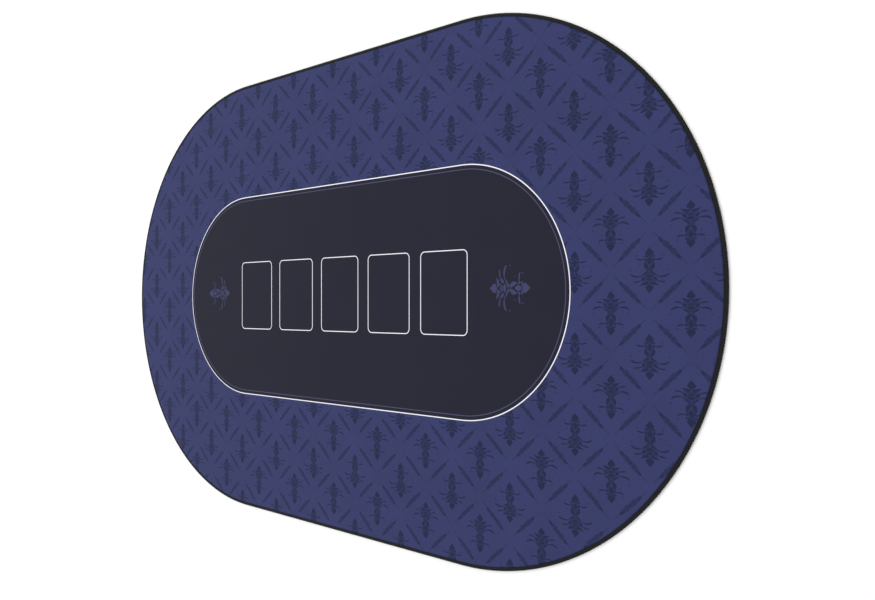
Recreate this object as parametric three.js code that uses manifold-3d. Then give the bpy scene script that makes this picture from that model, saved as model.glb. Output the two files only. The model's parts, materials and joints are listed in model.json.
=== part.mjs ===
// Folding poker table top: a racetrack-shaped mat of printed cloth glued to foam rubber, with an overlocked
// edge. Millimetres. It lies flat with the playing face up (+Z) and its length along X. The origin is the
// middle of the underside. Two fold strips let the wings turn up and over the centre panel, left wing first.
import * as THREE from 'three';
import { mergeVertices } from 'three/addons/utils/BufferGeometryUtils.js';
import Module from 'manifold-3d';

const wasm = await Module();
wasm.setup();

// Outline
const LENGTH = 1000;
const WIDTH = 600;            // the ends are half circles of this width
const ARC_SEGMENTS = 32;      // in each half circle

// Layers, from the underside up
const RUBBER = 2.5;
const FILM = 0.1;
const CLOTH = 0.4;
const THICKNESS = RUBBER + FILM + CLOTH;

// Edge stitching: the layers are pinched to a thin rim, which the threads wrap flush with both faces
const BAND = 4;               // how far in the stitching reaches
const THREAD = 0.5;           // depth of the thread on each face
const WRAP = 0.4;             // depth of the thread round the rim
const ROW = 0.5;              // width of the needle thread's row
const CLEAR = 0.3;            // between pieces whose sloped or curved faces meet

// Folds
const CENTRE_HALF = 172;      // from the middle to each fold strip
const LEFT_FOLD = 3.1;        // width of the strip that bends, on the left
const RIGHT_FOLD = 7;         // wider, because the right wing closes over the folded left wing
const FOLD_CUT = 0.3;         // between neighbouring panels

const MATERIALS = {
  cloth: new THREE.MeshStandardMaterial({ color: 0x3d416d, roughness: 0.85, metalness: 0 }),
  film: new THREE.MeshStandardMaterial({ color: 0xc9c6b8, roughness: 0.4, metalness: 0 }),
  rubber: new THREE.MeshStandardMaterial({ color: 0x1c1d1f, roughness: 0.9, metalness: 0 }),
  thread: new THREE.MeshStandardMaterial({ color: 0x0b0d0f, roughness: 0.7, metalness: 0 }),
};

// The mat's panels from left to right, each between two places along X.
const PANELS = [
  { name: 'left_wing', from: -LENGTH / 2, to: -CENTRE_HALF - LEFT_FOLD },
  { name: 'left_fold', from: -CENTRE_HALF - LEFT_FOLD, to: -CENTRE_HALF },
  { name: 'centre', from: -CENTRE_HALF, to: CENTRE_HALF },
  { name: 'right_fold', from: CENTRE_HALF, to: CENTRE_HALF + RIGHT_FOLD },
  { name: 'right_wing', from: CENTRE_HALF + RIGHT_FOLD, to: LENGTH / 2 },
];

// A closed surface as a solid that can be joined and cut.
function solid(geometry) {
  const bare = geometry.clone();
  bare.deleteAttribute('normal');
  bare.deleteAttribute('uv');
  const merged = mergeVertices(bare, 1e-5);
  return new wasm.Manifold(new wasm.Mesh({
    numProp: 3,
    vertProperties: new Float32Array(merged.attributes.position.array),
    triVerts: new Uint32Array(merged.index.array),
  }));
}

// A solid as a named mesh.
function mesh(name, body, material) {
  const { vertProperties, triVerts } = body.getMesh();
  const geometry = new THREE.BufferGeometry();
  geometry.setAttribute('position', new THREE.BufferAttribute(vertProperties, 3));
  geometry.setIndex(new THREE.BufferAttribute(triVerts, 1));
  const result = new THREE.Mesh(geometry, material);
  result.name = name;
  return result;
}

// The mat's outline, moved in from the finished edge.
function racetrack(inset) {
  const radius = WIDTH / 2 - inset;
  const arcCentre = (LENGTH - WIDTH) / 2;
  const outline = new THREE.Shape();
  outline.absarc(arcCentre, 0, radius, -Math.PI / 2, Math.PI / 2);
  outline.absarc(-arcCentre, 0, radius, Math.PI / 2, 3 * Math.PI / 2);
  outline.closePath();
  return outline;
}

// A slab of the outline between two heights. A slope narrows it by that much at its top and bottom edges.
function slab(inset, bottom, top, slope = 0) {
  const geometry = new THREE.ExtrudeGeometry(racetrack(inset), {
    depth: top - bottom - 2 * slope,
    curveSegments: ARC_SEGMENTS / 2,
    bevelEnabled: slope > 0,
    bevelThickness: slope,
    bevelSize: slope,
    bevelSegments: 1,
  });
  return solid(geometry.translate(0, 0, bottom + slope));
}

// A band that follows the outline, between two insets and two heights.
function ring(outer, inner, bottom, top) {
  return slab(outer, bottom, top).subtract(slab(inner, bottom - 1, top + 1));
}

// Everything from the underside up to a face of the mat that steps down by a thread's depth at the rim.
// flatFrom is how far in the step ends, and rim is the inset of the rim itself.
function pinched(height, flatFrom, rim) {
  return slab(flatFrom, 0, height, THREAD).add(slab(rim, THREAD, height - THREAD));
}

// The part of a solid that belongs to a panel, and to its front (-1) or back (1) side on an edge thread.
function panelPart(body, panel, side = 0) {
  const from = panel.from + (panel.from > -LENGTH / 2 ? FOLD_CUT / 2 : -BAND);
  const to = panel.to - (panel.to < LENGTH / 2 ? FOLD_CUT / 2 : -BAND);
  const depth = 2 * WIDTH;
  const box = new THREE.BoxGeometry(to - from, depth, depth);
  box.translate((from + to) / 2, side * depth / 2, 0);
  return body.intersect(solid(box));
}

// Where each layer's slope ends: every layer starts further in than the one above, so the slopes stay clear.
const RIM = WRAP + CLEAR;
const CLOTH_TOP_SLOPE = BAND;
const CLOTH_UNDER_SLOPE = CLOTH_TOP_SLOPE + CLEAR;
const FILM_TOP_SLOPE = CLOTH_UNDER_SLOPE + CLEAR;
const FILM_UNDER_SLOPE = FILM_TOP_SLOPE + FILM;
const RUBBER_SLOPE = FILM_UNDER_SLOPE + CLEAR;

function rubberLayer() {
  return pinched(RUBBER, RUBBER_SLOPE, RIM);
}

function filmLayer() {
  const below = pinched(RUBBER, FILM_UNDER_SLOPE, 0).add(slab(0, 0, THREAD));
  return pinched(RUBBER + FILM, FILM_TOP_SLOPE, RIM).subtract(below);
}

function clothLayer() {
  const below = pinched(RUBBER + FILM, CLOTH_UNDER_SLOPE, 0).add(slab(0, 0, THREAD));
  return pinched(THICKNESS, CLOTH_TOP_SLOPE, RIM).subtract(below);
}

// Inner edge of the needle thread's row: just outside the foot of the cloth's slope.
const ROW_INNER = BAND - THREAD - CLEAR;
const ROW_OUTER = ROW_INNER - ROW;

function needleThread() {
  return ring(ROW_OUTER, ROW_INNER, THICKNESS - THREAD, THICKNESS);
}

function upperLooperThread() {
  const face = ring(0, ROW_OUTER - CLEAR, THICKNESS - THREAD, THICKNESS);
  return face.add(ring(0, WRAP, (THICKNESS + CLEAR) / 2, THICKNESS - THREAD));
}

function lowerLooperThread() {
  const face = ring(0, BAND, 0, THREAD);
  return face.add(ring(0, WRAP, THREAD, (THICKNESS - CLEAR) / 2));
}

const LAYERS = {
  rubber: { body: rubberLayer(), material: MATERIALS.rubber },
  film: { body: filmLayer(), material: MATERIALS.film },
  cloth: { body: clothLayer(), material: MATERIALS.cloth },
};

const THREADS = {
  needle_thread: needleThread(),
  upper_looper: upperLooperThread(),
  lower_looper: lowerLooperThread(),
};

// A wing has one run of edge round its end, and the panels between the wings have one on each side.
function edgeRuns(panel) {
  const isWing = panel.name.endsWith('wing');
  return isWing ? [{ suffix: '', side: 0 }] : [{ suffix: '_front', side: -1 }, { suffix: '_back', side: 1 }];
}

function panelGroup(panel) {
  const group = new THREE.Group();
  group.name = panel.name;
  for (const [kind, layer] of Object.entries(LAYERS)) {
    group.add(mesh(`${kind}_${panel.name}`, panelPart(layer.body, panel), layer.material));
  }
  for (const [kind, body] of Object.entries(THREADS)) {
    for (const run of edgeRuns(panel)) {
      const name = `${kind}_${panel.name}${run.suffix}`;
      group.add(mesh(name, panelPart(body, panel, run.side), MATERIALS.thread));
    }
  }
  return group;
}

const mat = new THREE.Group();
mat.name = 'poker_mat';
for (const panel of PANELS) {
  mat.add(panelGroup(panel));
}

export default mat;
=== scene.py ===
"""The looks of a folding poker table top: printed knit cloth on foam rubber, with an overlocked edge.

The mat lies flat in the row frame with its playing face up. Geometry is worked out in millimetres from the
middle of the underside, and goes into meshes in metres. Every layer and thread is made in four lengths from
left to right, each holding one hinge line, where its mesh is cut into narrow columns.
"""
import json
import math
from collections import namedtuple

import bpy
import numpy as np
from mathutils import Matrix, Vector
from mathutils.geometry import delaunay_2d_cdt


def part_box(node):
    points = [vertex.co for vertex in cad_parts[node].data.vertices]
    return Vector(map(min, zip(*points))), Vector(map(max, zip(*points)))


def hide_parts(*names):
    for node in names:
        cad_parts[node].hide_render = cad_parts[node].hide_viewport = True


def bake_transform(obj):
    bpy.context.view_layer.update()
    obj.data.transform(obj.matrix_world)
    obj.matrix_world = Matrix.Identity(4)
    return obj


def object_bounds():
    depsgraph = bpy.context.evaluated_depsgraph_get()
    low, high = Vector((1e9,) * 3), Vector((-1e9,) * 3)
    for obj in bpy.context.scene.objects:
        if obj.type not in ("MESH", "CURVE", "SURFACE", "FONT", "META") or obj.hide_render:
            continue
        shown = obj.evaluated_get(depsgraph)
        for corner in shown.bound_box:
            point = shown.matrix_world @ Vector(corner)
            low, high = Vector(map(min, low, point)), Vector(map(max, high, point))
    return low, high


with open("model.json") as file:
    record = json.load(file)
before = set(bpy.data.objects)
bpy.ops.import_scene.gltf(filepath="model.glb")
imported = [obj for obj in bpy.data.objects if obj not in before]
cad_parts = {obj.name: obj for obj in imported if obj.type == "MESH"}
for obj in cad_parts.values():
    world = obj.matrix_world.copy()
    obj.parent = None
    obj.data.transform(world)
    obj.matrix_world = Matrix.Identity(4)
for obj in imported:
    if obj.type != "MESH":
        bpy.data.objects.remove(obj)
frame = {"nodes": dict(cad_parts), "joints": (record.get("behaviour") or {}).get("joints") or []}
CAD_LOW, CAD_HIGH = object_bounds()

MM = 0.001

# ---------------------------------------------------------------- the mat, in millimetres, from the frame
LENGTH = (CAD_HIGH.x - CAD_LOW.x) / MM
WIDTH = (CAD_HIGH.y - CAD_LOW.y) / MM
THICKNESS = (CAD_HIGH.z - CAD_LOW.z) / MM
RADIUS = WIDTH / 2
ARC_CENTRE = LENGTH / 2 - RADIUS
RUBBER_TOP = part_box("rubber_centre")[1].z / MM
FILM_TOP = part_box("film_centre")[1].z / MM
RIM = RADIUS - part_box("cloth_centre")[1].y / MM
HINGES = {joint["name"]: joint["pos_m"] for joint in frame["joints"]}
HINGE_HEIGHT = HINGES["left_fold_inner"][2] / MM
BEND_REACH = math.pi / 4 * (HINGE_HEIGHT - THICKNESS / 2)  # of a bend, to each side of its hinge line
BEND_CUTS = 6        # mesh columns on each side of a hinge line within that reach, and one just past it

# ---------------------------------------------------------------- edge stitching
PINCH = 0.5          # how far each face steps down under the threads
PINCH_FROM = 4.9     # inset where the step begins
PINCH_TO = 4.1       # inset where it ends
PINCH_SHIFT = 0.5    # how much nearer the middle the underside steps in
EDGE_ROLL = 0.9      # the last stretch before the rim, where each face rolls over
EDGE_DROP = 0.12     # and how far it drops there
STITCH = 2.8         # pitch along the edge
UNEVENNESS = 0.05    # of each stitch's place, as a standard deviation
NEEDLE_ROW = 3.7     # inset of the needle thread
NEEDLE_CROWN = 0.42  # height of a needle stitch's middle above the pinched face
NEEDLE_DIP = 0.55    # how far it drops from there into its holes
NEEDLE_HALF_WIDTH = 0.27
NEEDLE_HALF_HEIGHT = 0.22
LOOPER_APART = 0.36  # of a pitch: how far a strand starts from the middle of its stitch
LOOPER_CLOSING = 0.26              # and how much nearer it is at the knot
LOOPER_HALF_WIDTH = 0.82
LOOPER_NARROWING = 0.46            # what the half width loses on the way to the knot
LOOPER_HALF_HEIGHT = 0.23
LOOPER_INSETS = (3.85, 3.5, 2.6, 1.5, 0.75, 0.34, 0.22, 0.24)      # from the needle row to the knot
LOOPER_DEPTHS = (0.50, 0.28, 0.22, 0.23, 0.32, 0.62, 1.05, 1.42)   # of the thread's middle, from the face
LOWER_START = (4.0, 3.6)           # the first insets of the lower looper

# ---------------------------------------------------------------- print
FIELD_RADIUS = 140.2           # of the dark field's round ends
FIELD_CENTRE = 201.7           # of those ends, along X
FIELD_LINE = 1.15
ACCENT_INSET = 5.0             # thin line inside the field's white line
ACCENT_LINE = 0.9
CARD_PLACES = 5
CARD_PITCH = 87.8
CARD_SIZE = (69.5, 94.2)       # a 63.5 x 88.9 mm card with about 3 mm round it
CARD_CORNER = 6.0
CARD_LINE = 1.0
COLUMN_PITCH = 39.84           # between neighbouring columns of motifs
MOTIF_PITCH = 79.4             # between motifs in one column
COLUMN_START = 28.4
MOTIF_START = 18.1
COLUMN_LEAN = -0.0036           # the columns lean to the left by this much of their height
ORNAMENT_PLACE = (268.0, 4.0)
ORNAMENT_SCALE = 1.25
SPRIG_SLOPE = math.radians(42.5)
MOTIF_REACH = 24               # from the middle of a motif to its farthest point
SPRIG_REACH = 28
LEAFLETS = ((3.0, 2.9), (4.8, 2.8), (7.2, 2.3))    # of a sprig: where each starts, and how far out it ends
PRINT_STRIP = 14               # width of the strips in which the printed plan is cut into triangles
PLAIN_STRIP = 60               # and of those of a plain layer


def inset_at(x, y):
    """How far points lie inside the mat's finished edge."""
    return RADIUS - np.hypot(np.maximum(np.abs(x) - ARC_CENTRE, 0), y)


def smooth_step(t):
    t = np.clip(t, 0, 1)
    return t * t * (3 - 2 * t)


def pinch_at(inset):
    """How far each face of the mat steps in under the stitching, at an inset from the edge."""
    return PINCH * smooth_step((PINCH_FROM - inset) / (PINCH_FROM - PINCH_TO))


# ================================================================ outlines of the print
def racetrack(radius, arc_centre=ARC_CENTRE, arc_steps=96):
    """Two half circles joined by straight sides, anticlockwise."""
    turns = np.arange(arc_steps + 1) / arc_steps * math.pi
    right = [(arc_centre + radius * math.sin(a), -radius * math.cos(a)) for a in turns]
    left = [(-arc_centre - radius * math.sin(a), radius * math.cos(a)) for a in turns]
    return right + left


def rounded_box(centre, size, corner, corner_steps=8):
    points = []
    for quarter, (sign_x, sign_y) in enumerate([(1, -1), (1, 1), (-1, 1), (-1, -1)]):
        corner_x = centre[0] + sign_x * (size[0] / 2 - corner)
        corner_y = centre[1] + sign_y * (size[1] / 2 - corner)
        for k in range(corner_steps + 1):
            a = (quarter - 1 + k / corner_steps) * math.pi / 2
            points.append((corner_x + corner * math.cos(a), corner_y + corner * math.sin(a)))
    return points


def placed(points, angle, centre, scale=1.0):
    c, s = math.cos(angle) * scale, math.sin(angle) * scale
    return [(centre[0] + x * c - y * s, centre[1] + x * s + y * c) for x, y in points]


def mirrored(shape):
    """A shape and its mirror image across the Y axis."""
    return [shape, [(-x, y) for x, y in shape][::-1]]


def lancet(base, tip, half_width, bow=0.0, fullest=0.5, swell=0.85, steps=5):
    """A leaf from base to tip, widest at fullest of its length. A high swell makes it a lozenge."""
    along = (tip[0] - base[0], tip[1] - base[1])
    length = math.hypot(*along)
    normal = (-along[1] / length, along[0] / length)
    power = math.log(0.5) / math.log(fullest)

    def point(t, sign):
        offset = bow * 4 * t * (1 - t) + sign * half_width * math.sin(math.pi * t ** power) ** swell
        return base[0] + along[0] * t + normal[0] * offset, base[1] + along[1] * t + normal[1] * offset

    inner = [k / (steps + 1) for k in range(1, steps + 1)]
    return [base, *(point(t, -1) for t in inner), tip, *(point(t, 1) for t in reversed(inner))]


def tendril(start, heading, length, turn, width, steps=8):
    """A curl, thickest past its middle, that leaves start at a heading and turns ever faster, in degrees."""
    x, y = start
    left, right = [], []
    for k in range(steps):
        t = k / steps
        angle = math.radians(heading + turn * t * t)
        half = width / 2 * (0.35 + 0.65 * math.sin(math.pi * t ** 1.5))
        left.append((x - math.sin(angle) * half, y + math.cos(angle) * half))
        right.append((x + math.sin(angle) * half, y - math.cos(angle) * half))
        x += math.cos(angle) * length / steps
        y += math.sin(angle) * length / steps
    return right + [(x, y)] + left[::-1]


def bead(centre, radius, sides=8):
    angles = [2 * math.pi * k / sides for k in range(sides)]
    return [(centre[0] + radius * math.cos(a), centre[1] + radius * math.sin(a)) for a in angles]


def damask_motif():
    """Two clusters of leaves between two buds, with a pair of hooked tendrils above and two pairs below."""
    shapes = [
        lancet((0, 13.0), (0, 21.4), 4.3, fullest=0.32, swell=1.3),
        lancet((0, 5.2), (0, 12.6), 2.5),
        lancet((-4.2, -5.2), (4.2, -5.2), 1.6),
        bead((0, -8.8), 1.4),
        lancet((0, -13.1), (0, -21.4), 4.2, fullest=0.32, swell=1.3),
    ]
    paired = [
        lancet((0.8, 12.4), (6.0, 12.9), 0.9, bow=0.4),
        lancet((2.8, 8.2), (4.8, 12.0), 0.9, bow=-0.6),
        lancet((0.1, 0.2), (4.5, 8.0), 1.9, bow=-1.3),
        tendril((3.6, 10.0), -6, 10.4, 50, 1.5),
        bead((12.6, 13.6), 0.7),
        bead((9.8, 5.2), 0.6),
        lancet((0.1, -0.5), (4.0, -0.4), 0.8, bow=-0.3),
        lancet((0.1, -1.9), (8.0, -5.0), 0.9, bow=0.7),
        tendril((7.2, -5.3), -8, 13.2, 75, 1.8),
        bead((19.0, 0.4), 0.7),
        lancet((4.0, -6.4), (8.2, -9.0), 1.4),
        lancet((1.0, -7.0), (3.1, -9.4), 0.7, steps=3),
        tendril((6.4, -9.0), -18, 10.2, 34, 1.4),
        lancet((0.5, -12.8), (3.9, -9.2), 1.1, bow=-0.7),
        lancet((1.4, -12.6), (7.4, -10.6), 0.9, bow=-0.7),
        lancet((1.6, -12.9), (9.6, -13.9), 0.9, bow=0.7),
    ]
    for shape in paired:
        shapes += mirrored(shape)
    return shapes


def motif_veil():
    """The paler ground of the motif's two clusters."""
    return [
        lancet((0, -1.0), (0, 13.8), 5.0, fullest=0.55, swell=0.6),
        lancet((0, -14.0), (0, -1.2), 7.6, swell=0.75),
    ]


def laurel_sprig():
    """A lacy spray of leaflets along X, with a bead in its middle and a pointed leaf at each end."""
    shapes = [lancet((-9, 0), (9, 0), 0.5, steps=3), bead((0, 0), 1.8, sides=6)]
    shapes += mirrored(lancet((8.2, -0.2), (15.8, 0.2), 1.7, bow=-0.3, fullest=0.4))
    for side in (1, -1):
        for x, reach in LEAFLETS:
            leaflet = lancet((x, side * 0.2), (x + 2.1, side * reach), 0.7, bow=side * 0.3, steps=2)
            shapes += mirrored(leaflet)
    return shapes


def sprig_veil():
    """The paler ground of a sprig, and the thin ends that carry it on to the crossings of the lattice."""
    thin_end = lancet((14.6, 0), (25.0, 0), 0.6, fullest=0.3, steps=2)
    return [lancet((-10, 0), (10, 0), 2.5, swell=0.7), *mirrored(thin_end)]


def border_print():
    """The staggered damask of the border, as (kind, outline) pairs."""
    shapes = []
    motif = [("motif", s) for s in damask_motif()] + [("veil", s) for s in motif_veil()]
    sprig = [("sprig", s) for s in laurel_sprig()] + [("veil", s) for s in sprig_veil()]
    columns = math.ceil(LENGTH / 2 / COLUMN_PITCH) + 1
    rows = math.ceil(WIDTH / 2 / MOTIF_PITCH) + 1

    def in_border(x, y, reach):
        return -reach < inset_at(x, y) < RADIUS - FIELD_RADIUS + reach

    for column in range(-columns, columns + 1):
        for row in range(-rows, rows + 1):
            y = MOTIF_START + (row + column % 2 / 2) * MOTIF_PITCH
            x = COLUMN_START + column * COLUMN_PITCH + COLUMN_LEAN * y
            turn = math.pi * (column % 2)
            if in_border(x, y, MOTIF_REACH):
                shapes += [(kind, placed(shape, turn, (x, y))) for kind, shape in motif]
            for side in (-1, 1):
                middle = (x + COLUMN_PITCH / 2, y + side * MOTIF_PITCH / 4)
                if in_border(*middle, SPRIG_REACH):
                    shapes += [(kind, placed(shape, -side * SPRIG_SLOPE, middle)) for kind, shape in sprig]
    return shapes


def band(kind, outline, width):
    """The outer and inner outlines of a line. outline(offset) is its middle moved out by offset."""
    return [(kind, outline(width / 2)), (f"{kind} inside", outline(-width / 2))]


def field_print():
    """The dark field's lines, card places and end ornaments, as (kind, outline) pairs."""
    accent = FIELD_RADIUS - ACCENT_INSET
    shapes = band("field line", lambda offset: racetrack(FIELD_RADIUS + offset, FIELD_CENTRE), FIELD_LINE)
    shapes += band("accent line", lambda offset: racetrack(accent + offset, FIELD_CENTRE), ACCENT_LINE)
    for place in range(CARD_PLACES):
        centre = ((place - (CARD_PLACES - 1) / 2) * CARD_PITCH, 0)

        def outline(offset, centre=centre):
            size = (CARD_SIZE[0] + 2 * offset, CARD_SIZE[1] + 2 * offset)
            return rounded_box(centre, size, CARD_CORNER + offset)

        shapes += band("card line", outline, CARD_LINE)
    for side in (-1, 1):
        centre = (side * ORNAMENT_PLACE[0], ORNAMENT_PLACE[1])
        turn = -side * math.pi / 2
        shapes += [("ornament", placed(s, turn, centre, ORNAMENT_SCALE)) for s in damask_motif()]
    return shapes


# The dyes of the print, in the order of the cloth's material slots.
DYES = ("ground", "motif", "sprig", "veil", "white", "field", "accent", "ornament")


def dye_of(kinds):
    """The dye of a patch of cloth that lies inside these kinds of outline."""
    if "card line" in kinds:
        return "field" if "card line inside" in kinds else "white"
    if "field line inside" in kinds:
        if "accent line" in kinds and "accent line inside" not in kinds:
            return "accent"
        return "ornament" if "ornament" in kinds else "field"
    if "field line" in kinds:
        return "white"
    for kind in ("motif", "sprig", "veil"):
        if kind in kinds:
            return kind
    return "ground"


# ================================================================ meshes
def bend_columns():
    """Places along X where the mesh is cut into narrow columns round each hinge line."""
    offsets = [BEND_REACH * k / BEND_CUTS for k in range(-BEND_CUTS - 1, BEND_CUTS + 2)]
    return [HINGES[name][0] / MM + offset for name in HINGES for offset in offsets]


def triangulated(shapes, x_from, x_to):
    """The mat's plan between two places along X, cut along shapes, as points and (triangle, kinds) pairs."""
    rings = [RIM + EDGE_ROLL] + [PINCH_TO + (PINCH_FROM - PINCH_TO) * k / 4 for k in range(5)]
    outline = [("mat", racetrack(RADIUS - RIM))] + [("ring", racetrack(RADIUS - inset)) for inset in rings]
    reach = RADIUS + 10
    strip = [(x_from, -reach), (x_to, -reach), (x_to, reach), (x_from, reach)]
    near = [s for s in shapes if min(p[0] for p in s[1]) < x_to and max(p[0] for p in s[1]) > x_from]
    points, faces, kinds = [], [], []
    for kind, shape in [("strip", strip), *outline, *near]:
        faces.append(list(range(len(points), len(points) + len(shape))))
        points += [Vector(p) for p in shape]
        kinds.append(kind)
    edges = []
    for x in bend_columns():
        if x_from < x < x_to:
            edges.append((len(points), len(points) + 1))
            points += [Vector((x, -reach + 1)), Vector((x, reach - 1))]
    over_hull, tolerance = 0, 1e-5
    made, _, triangles, _, _, origins = delaunay_2d_cdt(points, edges, faces, over_hull, tolerance, True)
    kept = []
    for triangle, origin in zip(triangles, origins):
        inside = {kinds[k] for k in origin}
        if "strip" in inside and "mat" in inside:
            kept.append((triangle, inside))
    return made, kept


def plan(shapes, x_from, x_to, strip_width):
    """A length of the mat's plan, welded between its strips: points, triangles and each triangle's kinds."""
    strips = math.ceil((x_to - x_from) / strip_width)
    places = np.linspace(x_from, x_to, strips + 1)
    index, points, triangles, kinds = {}, [], [], []
    for start, end in zip(places[:-1], places[1:]):
        made, kept = triangulated(shapes, start, end)
        rename = {}
        for triangle, inside in kept:
            for v in triangle:
                if v not in rename:
                    key = (round(made[v].x, 3), round(made[v].y, 3))
                    if key not in index:
                        index[key] = len(points)
                        points.append(key)
                    rename[v] = index[key]
            corners = [rename[v] for v in triangle]
            if len(set(corners)) == 3:
                triangles.append(corners)
                kinds.append(inside)
    return np.array(points), np.array(triangles), kinds


def new_piece(name, points, faces, uvs):
    """A smooth-shaded object from points in millimetres, with a texture place in metres for each point."""
    mesh = bpy.data.meshes.new(name)
    mesh.from_pydata((np.asarray(points) * MM).tolist(), [], faces)
    mesh.uv_layers.new(name="rest")
    corners = np.zeros(len(mesh.loops), int)
    mesh.loops.foreach_get("vertex_index", corners)
    mesh.uv_layers["rest"].data.foreach_set("uv", (np.asarray(uvs)[corners] * MM).ravel())
    mesh.polygons.foreach_set("use_smooth", np.ones(len(mesh.polygons), bool))
    mesh.set_sharp_from_angle(angle=math.radians(50))
    piece = bpy.data.objects.new(name, mesh)
    bpy.context.scene.collection.objects.link(piece)
    return piece


def boundary(triangles):
    """The directed edges that only one triangle uses."""
    used = dict.fromkeys(edge for a, b, c in triangles.tolist() for edge in ((a, b), (b, c), (c, a)))
    return [edge for edge in used if edge[::-1] not in used]


def face_height(points, height):
    """The height of a layer's upper face, pinched in towards the rim."""
    inset = inset_at(points[:, 0], points[:, 1])
    return height - pinch_at(inset) - EDGE_DROP * smooth_step((RIM + EDGE_ROLL - inset) / EDGE_ROLL)


def cloth_mesh(name, x_from, x_to):
    """The printed face: one sheet, with the cloth's cut edge round the rim."""
    points, triangles, kinds = plan(PRINT, x_from, x_to, PRINT_STRIP)
    top = np.column_stack([points, face_height(points, THICKNESS)])
    on_rim = inset_at(points[:, 0], points[:, 1]) < RIM + 0.1
    rim_edges = [(a, b) for a, b in boundary(triangles) if on_rim[a] and on_rim[b]]
    rim_points = sorted({v for edge in rim_edges for v in edge})
    lowered = {v: len(points) + k for k, v in enumerate(rim_points)}
    cut = top[rim_points] - (0, 0, THICKNESS - FILM_TOP)
    wall = [(b, a, lowered[a], lowered[b]) for a, b in rim_edges]
    flat = np.vstack([points, points[rim_points]])
    piece = new_piece(name, np.vstack([top, cut]), triangles.tolist() + wall, flat)
    cut_edge_painted_shade = DYES.index("field")    # the cut edge takes the dark field dye as painted shade between the edge threads
    slots = [DYES.index(dye_of(k)) for k in kinds] + [cut_edge_painted_shade] * len(wall)
    piece.data.polygons.foreach_set("material_index", slots)
    return piece


def layer_mesh(name, x_from, x_to, upper, lower):
    """A closed layer between two faces. lower(points) and upper(points) give their heights."""
    points, triangles, _ = plan([], x_from, x_to, PLAIN_STRIP)
    count = len(points)
    top = np.column_stack([points, upper(points)])
    bottom = np.column_stack([points, lower(points)])
    wall = [(b, a, a + count, b + count) for a, b in boundary(triangles)]
    faces = triangles.tolist() + (triangles[:, ::-1] + count).tolist() + wall
    return new_piece(name, np.vstack([top, bottom]), faces, np.vstack([points, points]))


def rubber_mesh(name, x_from, x_to):
    """The foam rubber, pinched on both faces."""
    def underside(points):
        return pinch_at(inset_at(points[:, 0], points[:, 1]) - PINCH_SHIFT)

    return layer_mesh(name, x_from, x_to, lambda points: face_height(points, RUBBER_TOP), underside)


def film_mesh(name, x_from, x_to):
    """The glue, which stays a hundredth of a millimetre clear of the layers on both sides."""
    gap = 0.01
    return layer_mesh(name, x_from, x_to, lambda points: face_height(points, FILM_TOP) - gap,
                      lambda points: face_height(points, RUBBER_TOP) + gap)


# ================================================================ edge threads
OUTLINE_LENGTH = 2 * (LENGTH - WIDTH) + 2 * math.pi * RADIUS
STITCHES = round(OUTLINE_LENGTH / STITCH)
PITCH = OUTLINE_LENGTH / STITCHES


def edge_place(along, inset, height):
    """Points at distances along the outline, insets and heights, with the outline's direction at each."""
    straight, arc = LENGTH - WIDTH, math.pi * RADIUS
    along = np.mod(along, OUTLINE_LENGTH)
    back = along >= straight + arc
    half = np.where(back, along - straight - arc, along)
    turn = np.maximum(half - straight, 0) / RADIUS
    x = -ARC_CENTRE + np.minimum(half, straight) + (RADIUS - inset) * np.sin(turn)
    y = -(RADIUS - inset) * np.cos(turn)
    flip = np.where(back, -1, 1)
    direction = np.stack([flip * np.cos(turn), flip * np.sin(turn), np.zeros_like(turn)], axis=-1)
    return np.stack([flip * x, flip * y, height + np.zeros_like(x)], axis=-1), direction


def normalised(v):
    return v / np.linalg.norm(v, axis=-1, keepdims=True)


def swept_threads(name, paths, sideways, half_widths, half_height, sides=6):
    """Threads along paths (threads, points, 3), flattened, with a half width along sideways at each point."""
    threads, steps, _ = paths.shape
    forward = normalised(np.gradient(paths, axis=1))
    across = normalised(sideways - (sideways * forward).sum(-1, keepdims=True) * forward)
    outward = np.cross(forward, across)
    taper = np.ones(steps)
    taper[0] = taper[-1] = 0.55
    angles = 2 * math.pi * np.arange(sides) / sides
    wide = np.outer(taper * half_widths, np.cos(angles))[:, :, None]
    high = np.outer(taper * half_height, np.sin(angles))[:, :, None]
    points = paths[:, :, None] + wide * across[:, :, None] + high * outward[:, :, None]
    run = np.linalg.norm(np.diff(paths, axis=1), axis=-1).cumsum(1)
    run = np.concatenate([np.zeros((threads, 1)), run], axis=1)
    uv = np.stack(np.broadcast_arrays(run[:, :, None], angles / (2 * math.pi)), axis=-1)
    place = np.arange(threads * steps * sides).reshape(threads, steps, sides)
    after = np.roll(place, -1, axis=2)
    quads = np.stack([place[:, :-1], after[:, :-1], after[:, 1:], place[:, 1:]], axis=-1).reshape(-1, 4)
    caps = np.concatenate([place[:, 0, ::-1], place[:, -1]])
    return new_piece(name, points.reshape(-1, 3), quads.tolist() + caps.tolist(), uv.reshape(-1, 2))


def stitches_between(x_from, x_to):
    """The distances along the outline of the stitches between two places along X."""
    along = (np.arange(STITCHES) + 0.5) * PITCH
    x = edge_place(along, 0, 0)[0][:, 0]
    return along[(x >= x_from) & (x < x_to)]


def jitter(count, seed):
    """How far each stitch strays from its place. The same seed always gives the same values."""
    return np.random.default_rng(seed).normal(0, UNEVENNESS, (count, 1))


def needle_threads(name, x_from, x_to):
    """One straight stitch of the needle row after another, each dipping into its holes."""
    along = stitches_between(x_from, x_to)[:, None]
    steps = np.linspace(-0.5, 0.5, 7)
    height = THICKNESS - PINCH + NEEDLE_CROWN - NEEDLE_DIP * np.abs(2 * steps) ** 4
    path, direction = edge_place(along + steps * PITCH, NEEDLE_ROW + jitter(len(along), 1), height)
    sideways = np.stack([-direction[..., 1], direction[..., 0], direction[..., 2]], axis=-1)
    return swept_threads(name, path, sideways, NEEDLE_HALF_WIDTH, NEEDLE_HALF_HEIGHT)


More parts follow.
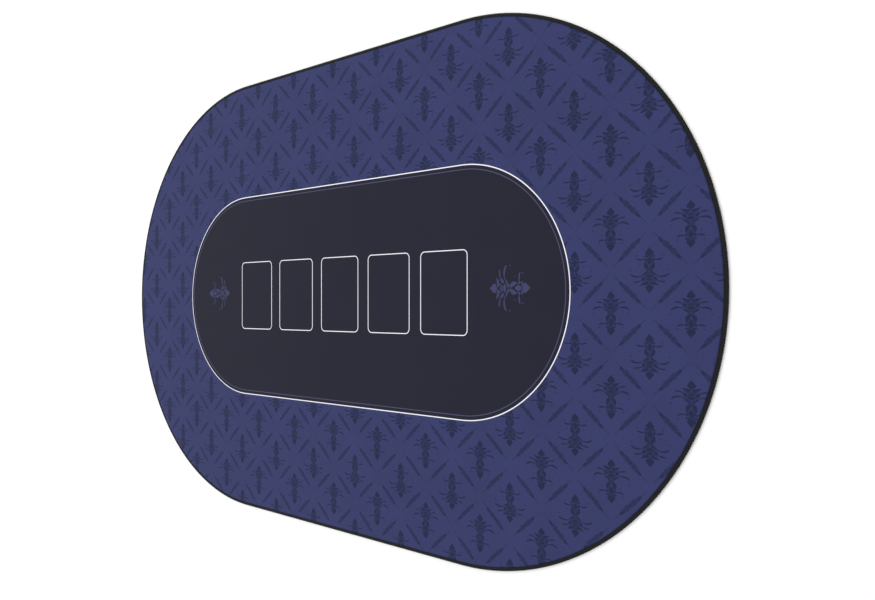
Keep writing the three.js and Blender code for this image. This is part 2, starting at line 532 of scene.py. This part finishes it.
def looper_threads(name, x_from, x_to, insets, heights, seed):
    """Two wide strands a stitch, which leave the needle row apart and meet at a knot on the rim."""
    centre = stitches_between(x_from, x_to)[:, None]
    share = np.linspace(0, 1, len(insets))
    parts = []
    for side in (-1, 1):
        spread = side * (LOOPER_APART - LOOPER_CLOSING * smooth_step(share)) * PITCH
        wander = jitter(len(centre), seed + side)
        along = centre + spread + wander
        inset = np.array(insets) + wander * 0.6
        parts.append(edge_place(along, inset, np.array(heights)))
    path = np.concatenate([p[0] for p in parts])
    direction = np.concatenate([p[1] for p in parts])
    half_widths = LOOPER_HALF_WIDTH - LOOPER_NARROWING * smooth_step(1.8 * share - 0.6)
    return swept_threads(name, path, direction, half_widths, LOOPER_HALF_HEIGHT)


def upper_loopers(name, x_from, x_to):
    heights = [THICKNESS - depth for depth in LOOPER_DEPTHS]
    return looper_threads(name, x_from, x_to, LOOPER_INSETS, heights, 10)


def lower_loopers(name, x_from, x_to):
    insets = LOWER_START + LOOPER_INSETS[len(LOWER_START):]
    return looper_threads(name, x_from, x_to, insets, LOOPER_DEPTHS, 20)


# ================================================================ materials
def new_material(name):
    material = bpy.data.materials.new(name)
    material.use_nodes = True
    tree = material.node_tree
    return material, tree, tree.nodes["Principled BSDF"]


def math_node(tree, operation, a, b=None):
    made = tree.nodes.new("ShaderNodeMath")
    made.operation = operation
    for socket, value in zip(made.inputs, (a, b)):
        if isinstance(value, bpy.types.NodeSocket):
            tree.links.new(value, socket)
        elif value is not None:
            socket.default_value = value
    return made.outputs[0]


def rest_place(tree, pitch_x, pitch_y):
    """The place on the flat mat, in pitches given in millimetres: both coordinates, and a vector."""
    uv = tree.nodes.new("ShaderNodeUVMap")
    uv.uv_map = "rest"
    scale = tree.nodes.new("ShaderNodeMapping")
    scale.inputs["Scale"].default_value = (1 / (pitch_x * MM), 1 / (pitch_y * MM), 1)
    tree.links.new(uv.outputs[0], scale.inputs[0])
    split = tree.nodes.new("ShaderNodeSeparateXYZ")
    tree.links.new(scale.outputs[0], split.inputs[0])
    return split.outputs[0], split.outputs[1], scale.outputs[0]


def noise(tree, vector, scale, detail=2.0):
    made = tree.nodes.new("ShaderNodeTexNoise")
    made.inputs["Scale"].default_value = scale
    made.inputs["Detail"].default_value = detail
    tree.links.new(vector, made.inputs["Vector"])
    return made.outputs[0]


def ramp(tree, value, low, high, from_low=0.3, from_high=0.7):
    made = tree.nodes.new("ShaderNodeMapRange")
    made.inputs["From Min"].default_value = from_low
    made.inputs["From Max"].default_value = from_high
    made.inputs["To Min"].default_value = low
    made.inputs["To Max"].default_value = high
    tree.links.new(value, made.inputs["Value"])
    return made.outputs["Result"]


def tinted(tree, shader, colour, brightness):
    """Colour times a brightness that varies over the surface."""
    made = tree.nodes.new("ShaderNodeVectorMath")
    made.operation = "SCALE"
    made.inputs[0].default_value = colour
    tree.links.new(brightness, made.inputs["Scale"])
    tree.links.new(made.outputs[0], shader.inputs["Base Color"])


def bumped(tree, shader, height, distance, strength):
    made = tree.nodes.new("ShaderNodeBump")
    made.inputs["Distance"].default_value = distance * MM
    made.inputs["Strength"].default_value = strength
    tree.links.new(height, made.inputs["Height"])
    tree.links.new(made.outputs[0], shader.inputs["Normal"])


def knit_height(tree):
    """Interlock knit: upright ribs of V-shaped loops."""
    rib_pitch, course_pitch = 0.62, 0.48
    rib, course, _ = rest_place(tree, rib_pitch, course_pitch)
    across = math_node(tree, "PINGPONG", rib, 0.5)
    loop = math_node(tree, "ADD", course, across)
    wave = math_node(tree, "SINE", math_node(tree, "MULTIPLY", loop, 2 * math.pi))
    crown = math_node(tree, "SINE", math_node(tree, "MULTIPLY", across, math.pi))
    return math_node(tree, "MULTIPLY", crown, math_node(tree, "MULTIPLY_ADD", wave, 0.3))


def cloth_material(dye, colour):
    material, tree, shader = new_material(f"printed_cloth_{dye}")
    _, _, millimetres = rest_place(tree, 1, 1)
    height = knit_height(tree)
    fibre = noise(tree, millimetres, 2.2, 4)
    cloud = noise(tree, millimetres, 0.02, 2)
    shade = math_node(tree, "ADD", ramp(tree, fibre, -0.06, 0.06), ramp(tree, cloud, 0.96, 1.04))
    # Painted shade: the knit's height lightens the colour on the loops' crowns and darkens it in the grooves
    # between them
    painted_knit_shade = math_node(tree, "MULTIPLY", height, 0.12)
    tinted(tree, shader, colour, math_node(tree, "ADD", shade, painted_knit_shade))
    tree.links.new(ramp(tree, fibre, 0.72, 0.88), shader.inputs["Roughness"])
    shader.inputs["Specular IOR Level"].default_value = 0.13
    shader.inputs["Sheen Weight"].default_value = 0.03
    shader.inputs["Sheen Roughness"].default_value = 0.5
    bumped(tree, shader, height, 0.05, 0.35)
    return material


def rubber_material():
    """Black foam rubber with the fine diamond ribs of its anti-slip underside."""
    material, tree, shader = new_material("foam_rubber")
    diamond = 3.6
    rib_x, rib_y, _ = rest_place(tree, diamond, diamond)
    _, _, millimetres = rest_place(tree, 1, 1)
    diagonal_a = math_node(tree, "PINGPONG", math_node(tree, "ADD", rib_x, rib_y), 0.5)
    diagonal_b = math_node(tree, "PINGPONG", math_node(tree, "SUBTRACT", rib_x, rib_y), 0.5)
    grip = math_node(tree, "MAXIMUM", diagonal_a, diagonal_b)
    pores = noise(tree, millimetres, 3.0, 3)
    ribs = math_node(tree, "MULTIPLY", grip, 1.4)
    height = math_node(tree, "ADD", ribs, math_node(tree, "MULTIPLY", pores, 0.5))
    tinted(tree, shader, (0.0125, 0.0125, 0.0135), ramp(tree, pores, 0.8, 1.25))
    tree.links.new(ramp(tree, pores, 0.72, 0.9), shader.inputs["Roughness"])
    shader.inputs["Specular IOR Level"].default_value = 0.35
    bumped(tree, shader, height, 0.5, 0.7)
    return material


def film_material():
    """Clear glue, darkened by the black rubber behind it."""
    material, tree, shader = new_material("glue_film")
    _, _, millimetres = rest_place(tree, 1, 1)
    streaks = noise(tree, millimetres, 0.4, 3)
    tinted(tree, shader, (0.050, 0.047, 0.040), ramp(tree, streaks, 0.9, 1.05))
    tree.links.new(ramp(tree, streaks, 0.3, 0.5), shader.inputs["Roughness"])
    bumped(tree, shader, streaks, 0.02, 0.3)
    return material


def thread_material():
    """Black bulked polyester, its plies twisting round the thread."""
    material, tree, shader = new_material("edge_thread")
    run, turn, place = rest_place(tree, 1, 0.001)
    twist = math_node(tree, "MULTIPLY", run, 2.2)
    ply = math_node(tree, "ADD", twist, math_node(tree, "MULTIPLY", turn, 2.0))
    wave = math_node(tree, "SINE", math_node(tree, "MULTIPLY", ply, 2 * math.pi))
    fibre = noise(tree, place, 5.0, 3)
    height = math_node(tree, "ADD", wave, fibre)
    tinted(tree, shader, (0.0045, 0.0048, 0.0052), ramp(tree, fibre, 0.6, 1.6))
    tree.links.new(ramp(tree, fibre, 0.5, 0.75), shader.inputs["Roughness"])
    shader.inputs["Specular IOR Level"].default_value = 0.2
    shader.inputs["Sheen Weight"].default_value = 0.01
    bumped(tree, shader, height, 0.06, 0.5)
    return material


def floor_material():
    material, tree, shader = new_material("pale_floor")
    coordinates = tree.nodes.new("ShaderNodeTexCoord")
    speckle = noise(tree, coordinates.outputs["Object"], 40, 3)
    tinted(tree, shader, (0.96, 0.96, 0.96), ramp(tree, speckle, 0.985, 1.0))
    tree.links.new(ramp(tree, speckle, 0.5, 0.6), shader.inputs["Roughness"])
    shader.inputs["Specular IOR Level"].default_value = 0.2
    return material


DYE_COLOURS = {
    "ground": (0.0318, 0.0376, 0.118),
    "motif": (0.0130, 0.0175, 0.055),
    "sprig": (0.0155, 0.0200, 0.064),
    "veil": (0.0225, 0.0280, 0.088),
    "white": (0.84, 0.84, 0.89),
    "field": (0.0135, 0.0135, 0.0265),
    "accent": (0.068, 0.071, 0.144),
    "ornament": (0.042, 0.047, 0.115),
}


# ================================================================ the pieces
Length = namedtuple("Length", "name x_from x_to body_a body_b hinge panels")


def lengths():
    """The mat's four lengths. Each names the two bodies on either side of its hinge, and stands for some
    panels.
    """
    outer_left, inner_left = HINGES["left_fold_outer"][0] / MM, HINGES["left_fold_inner"][0] / MM
    inner_right, outer_right = HINGES["right_fold_inner"][0] / MM, HINGES["right_fold_outer"][0] / MM
    middle_left, middle_right = (outer_left + inner_left) / 2, (inner_right + outer_right) / 2
    end = LENGTH / 2
    right_panels = ["centre", "right_fold"]
    return [
        Length("left_end", -end, middle_left, "left_wing", "left_fold", outer_left, ["left_wing"]),
        Length("left_middle", middle_left, 0.0, "left_fold", "centre", inner_left, ["left_fold"]),
        Length("right_middle", 0.0, middle_right, "centre", "right_fold", inner_right, right_panels),
        Length("right_end", middle_right, end, "right_fold", "right_wing", outer_right, ["right_wing"]),
    ]


def nodes_of(kind, panels):
    return [n for n in frame["nodes"] if any(n.startswith(f"{kind}_{panel}") for panel in panels)]


PRINT = border_print() + field_print()

MAKERS = {
    "rubber": rubber_mesh,
    "film": film_mesh,
    "cloth": cloth_mesh,
    "needle_thread": needle_threads,
    "upper_looper": upper_loopers,
    "lower_looper": lower_loopers,
}


def make_pieces():
    materials = {
        "rubber": [rubber_material()],
        "film": [film_material()],
        "cloth": [cloth_material(dye, DYE_COLOURS[dye]) for dye in DYES],
    }
    thread = [thread_material()]
    pieces = {}
    for length in lengths():
        for kind, make in MAKERS.items():
            piece = make(f"{kind}_{length.name}", length.x_from, length.x_to)
            for material in materials.get(kind, thread):
                piece.data.materials.append(material)
            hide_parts(*nodes_of(kind, length.panels))
            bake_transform(piece)
            pieces[kind, length.name] = piece
    return pieces


def top_area(mesh):
    """The area of the faces that look up."""
    return sum(face.area for face in mesh.polygons if face.normal.z > 0.5)


def declare(pieces):
    for (kind, length), piece in pieces.items():
        if kind == "cloth":
            size = np.ptp([v.co for v in piece.data.vertices], axis=0)
            top_area(piece.data)


# ================================================================ stage
def add_floor():
    half = 6.0
    mesh = bpy.data.meshes.new("floor")
    corners = [(-half, -half), (half, -half), (half, half), (-half, half)]
    mesh.from_pydata([(x, y, CAD_LOW.z) for x, y in corners], [], [(0, 1, 2, 3)])
    floor = bpy.data.objects.new("floor", mesh)
    mesh.materials.append(floor_material())
    bpy.context.scene.collection.objects.link(floor)


def add_area_light(name, place, aim, size, power):
    light = bpy.data.lights.new(name, "AREA")
    light.size = size
    light.energy = power
    lamp = bpy.data.objects.new(name, light)
    lamp.location = place
    lamp.rotation_euler = (Vector(aim) - Vector(place)).to_track_quat("-Z", "Y").to_euler()
    bpy.context.scene.collection.objects.link(lamp)


def add_lights():
    world = bpy.data.worlds.new("studio")
    world.use_nodes = True
    world.node_tree.nodes["Background"].inputs["Color"].default_value = (1, 1, 1, 1)
    world.node_tree.nodes["Background"].inputs["Strength"].default_value = 0.95
    bpy.context.scene.world = world
    add_area_light("key", (-0.7, 1.1, 2.2), (0, 0, 0), 1.6, 18)


def add_camera():
    """Looks across the mat from beyond its right end, turned about the mat's short axis."""
    turn = math.radians(41.8)
    camera = bpy.data.objects.new("camera", bpy.data.cameras.new("camera"))
    camera.location = (0.774, -0.014, CAD_HIGH.z + 0.679)
    camera.rotation_euler = (0, turn, 0)
    camera.data.sensor_width = 36
    camera.data.lens = 33.2
    camera.data.shift_y = 0.0061
    camera.data.clip_start = 0.01
    bpy.context.scene.collection.objects.link(camera)
    bpy.context.scene.camera = camera


add_camera()
add_floor()
add_lights()
bpy.context.scene.view_settings.view_transform = "Standard"
declare(make_pieces())
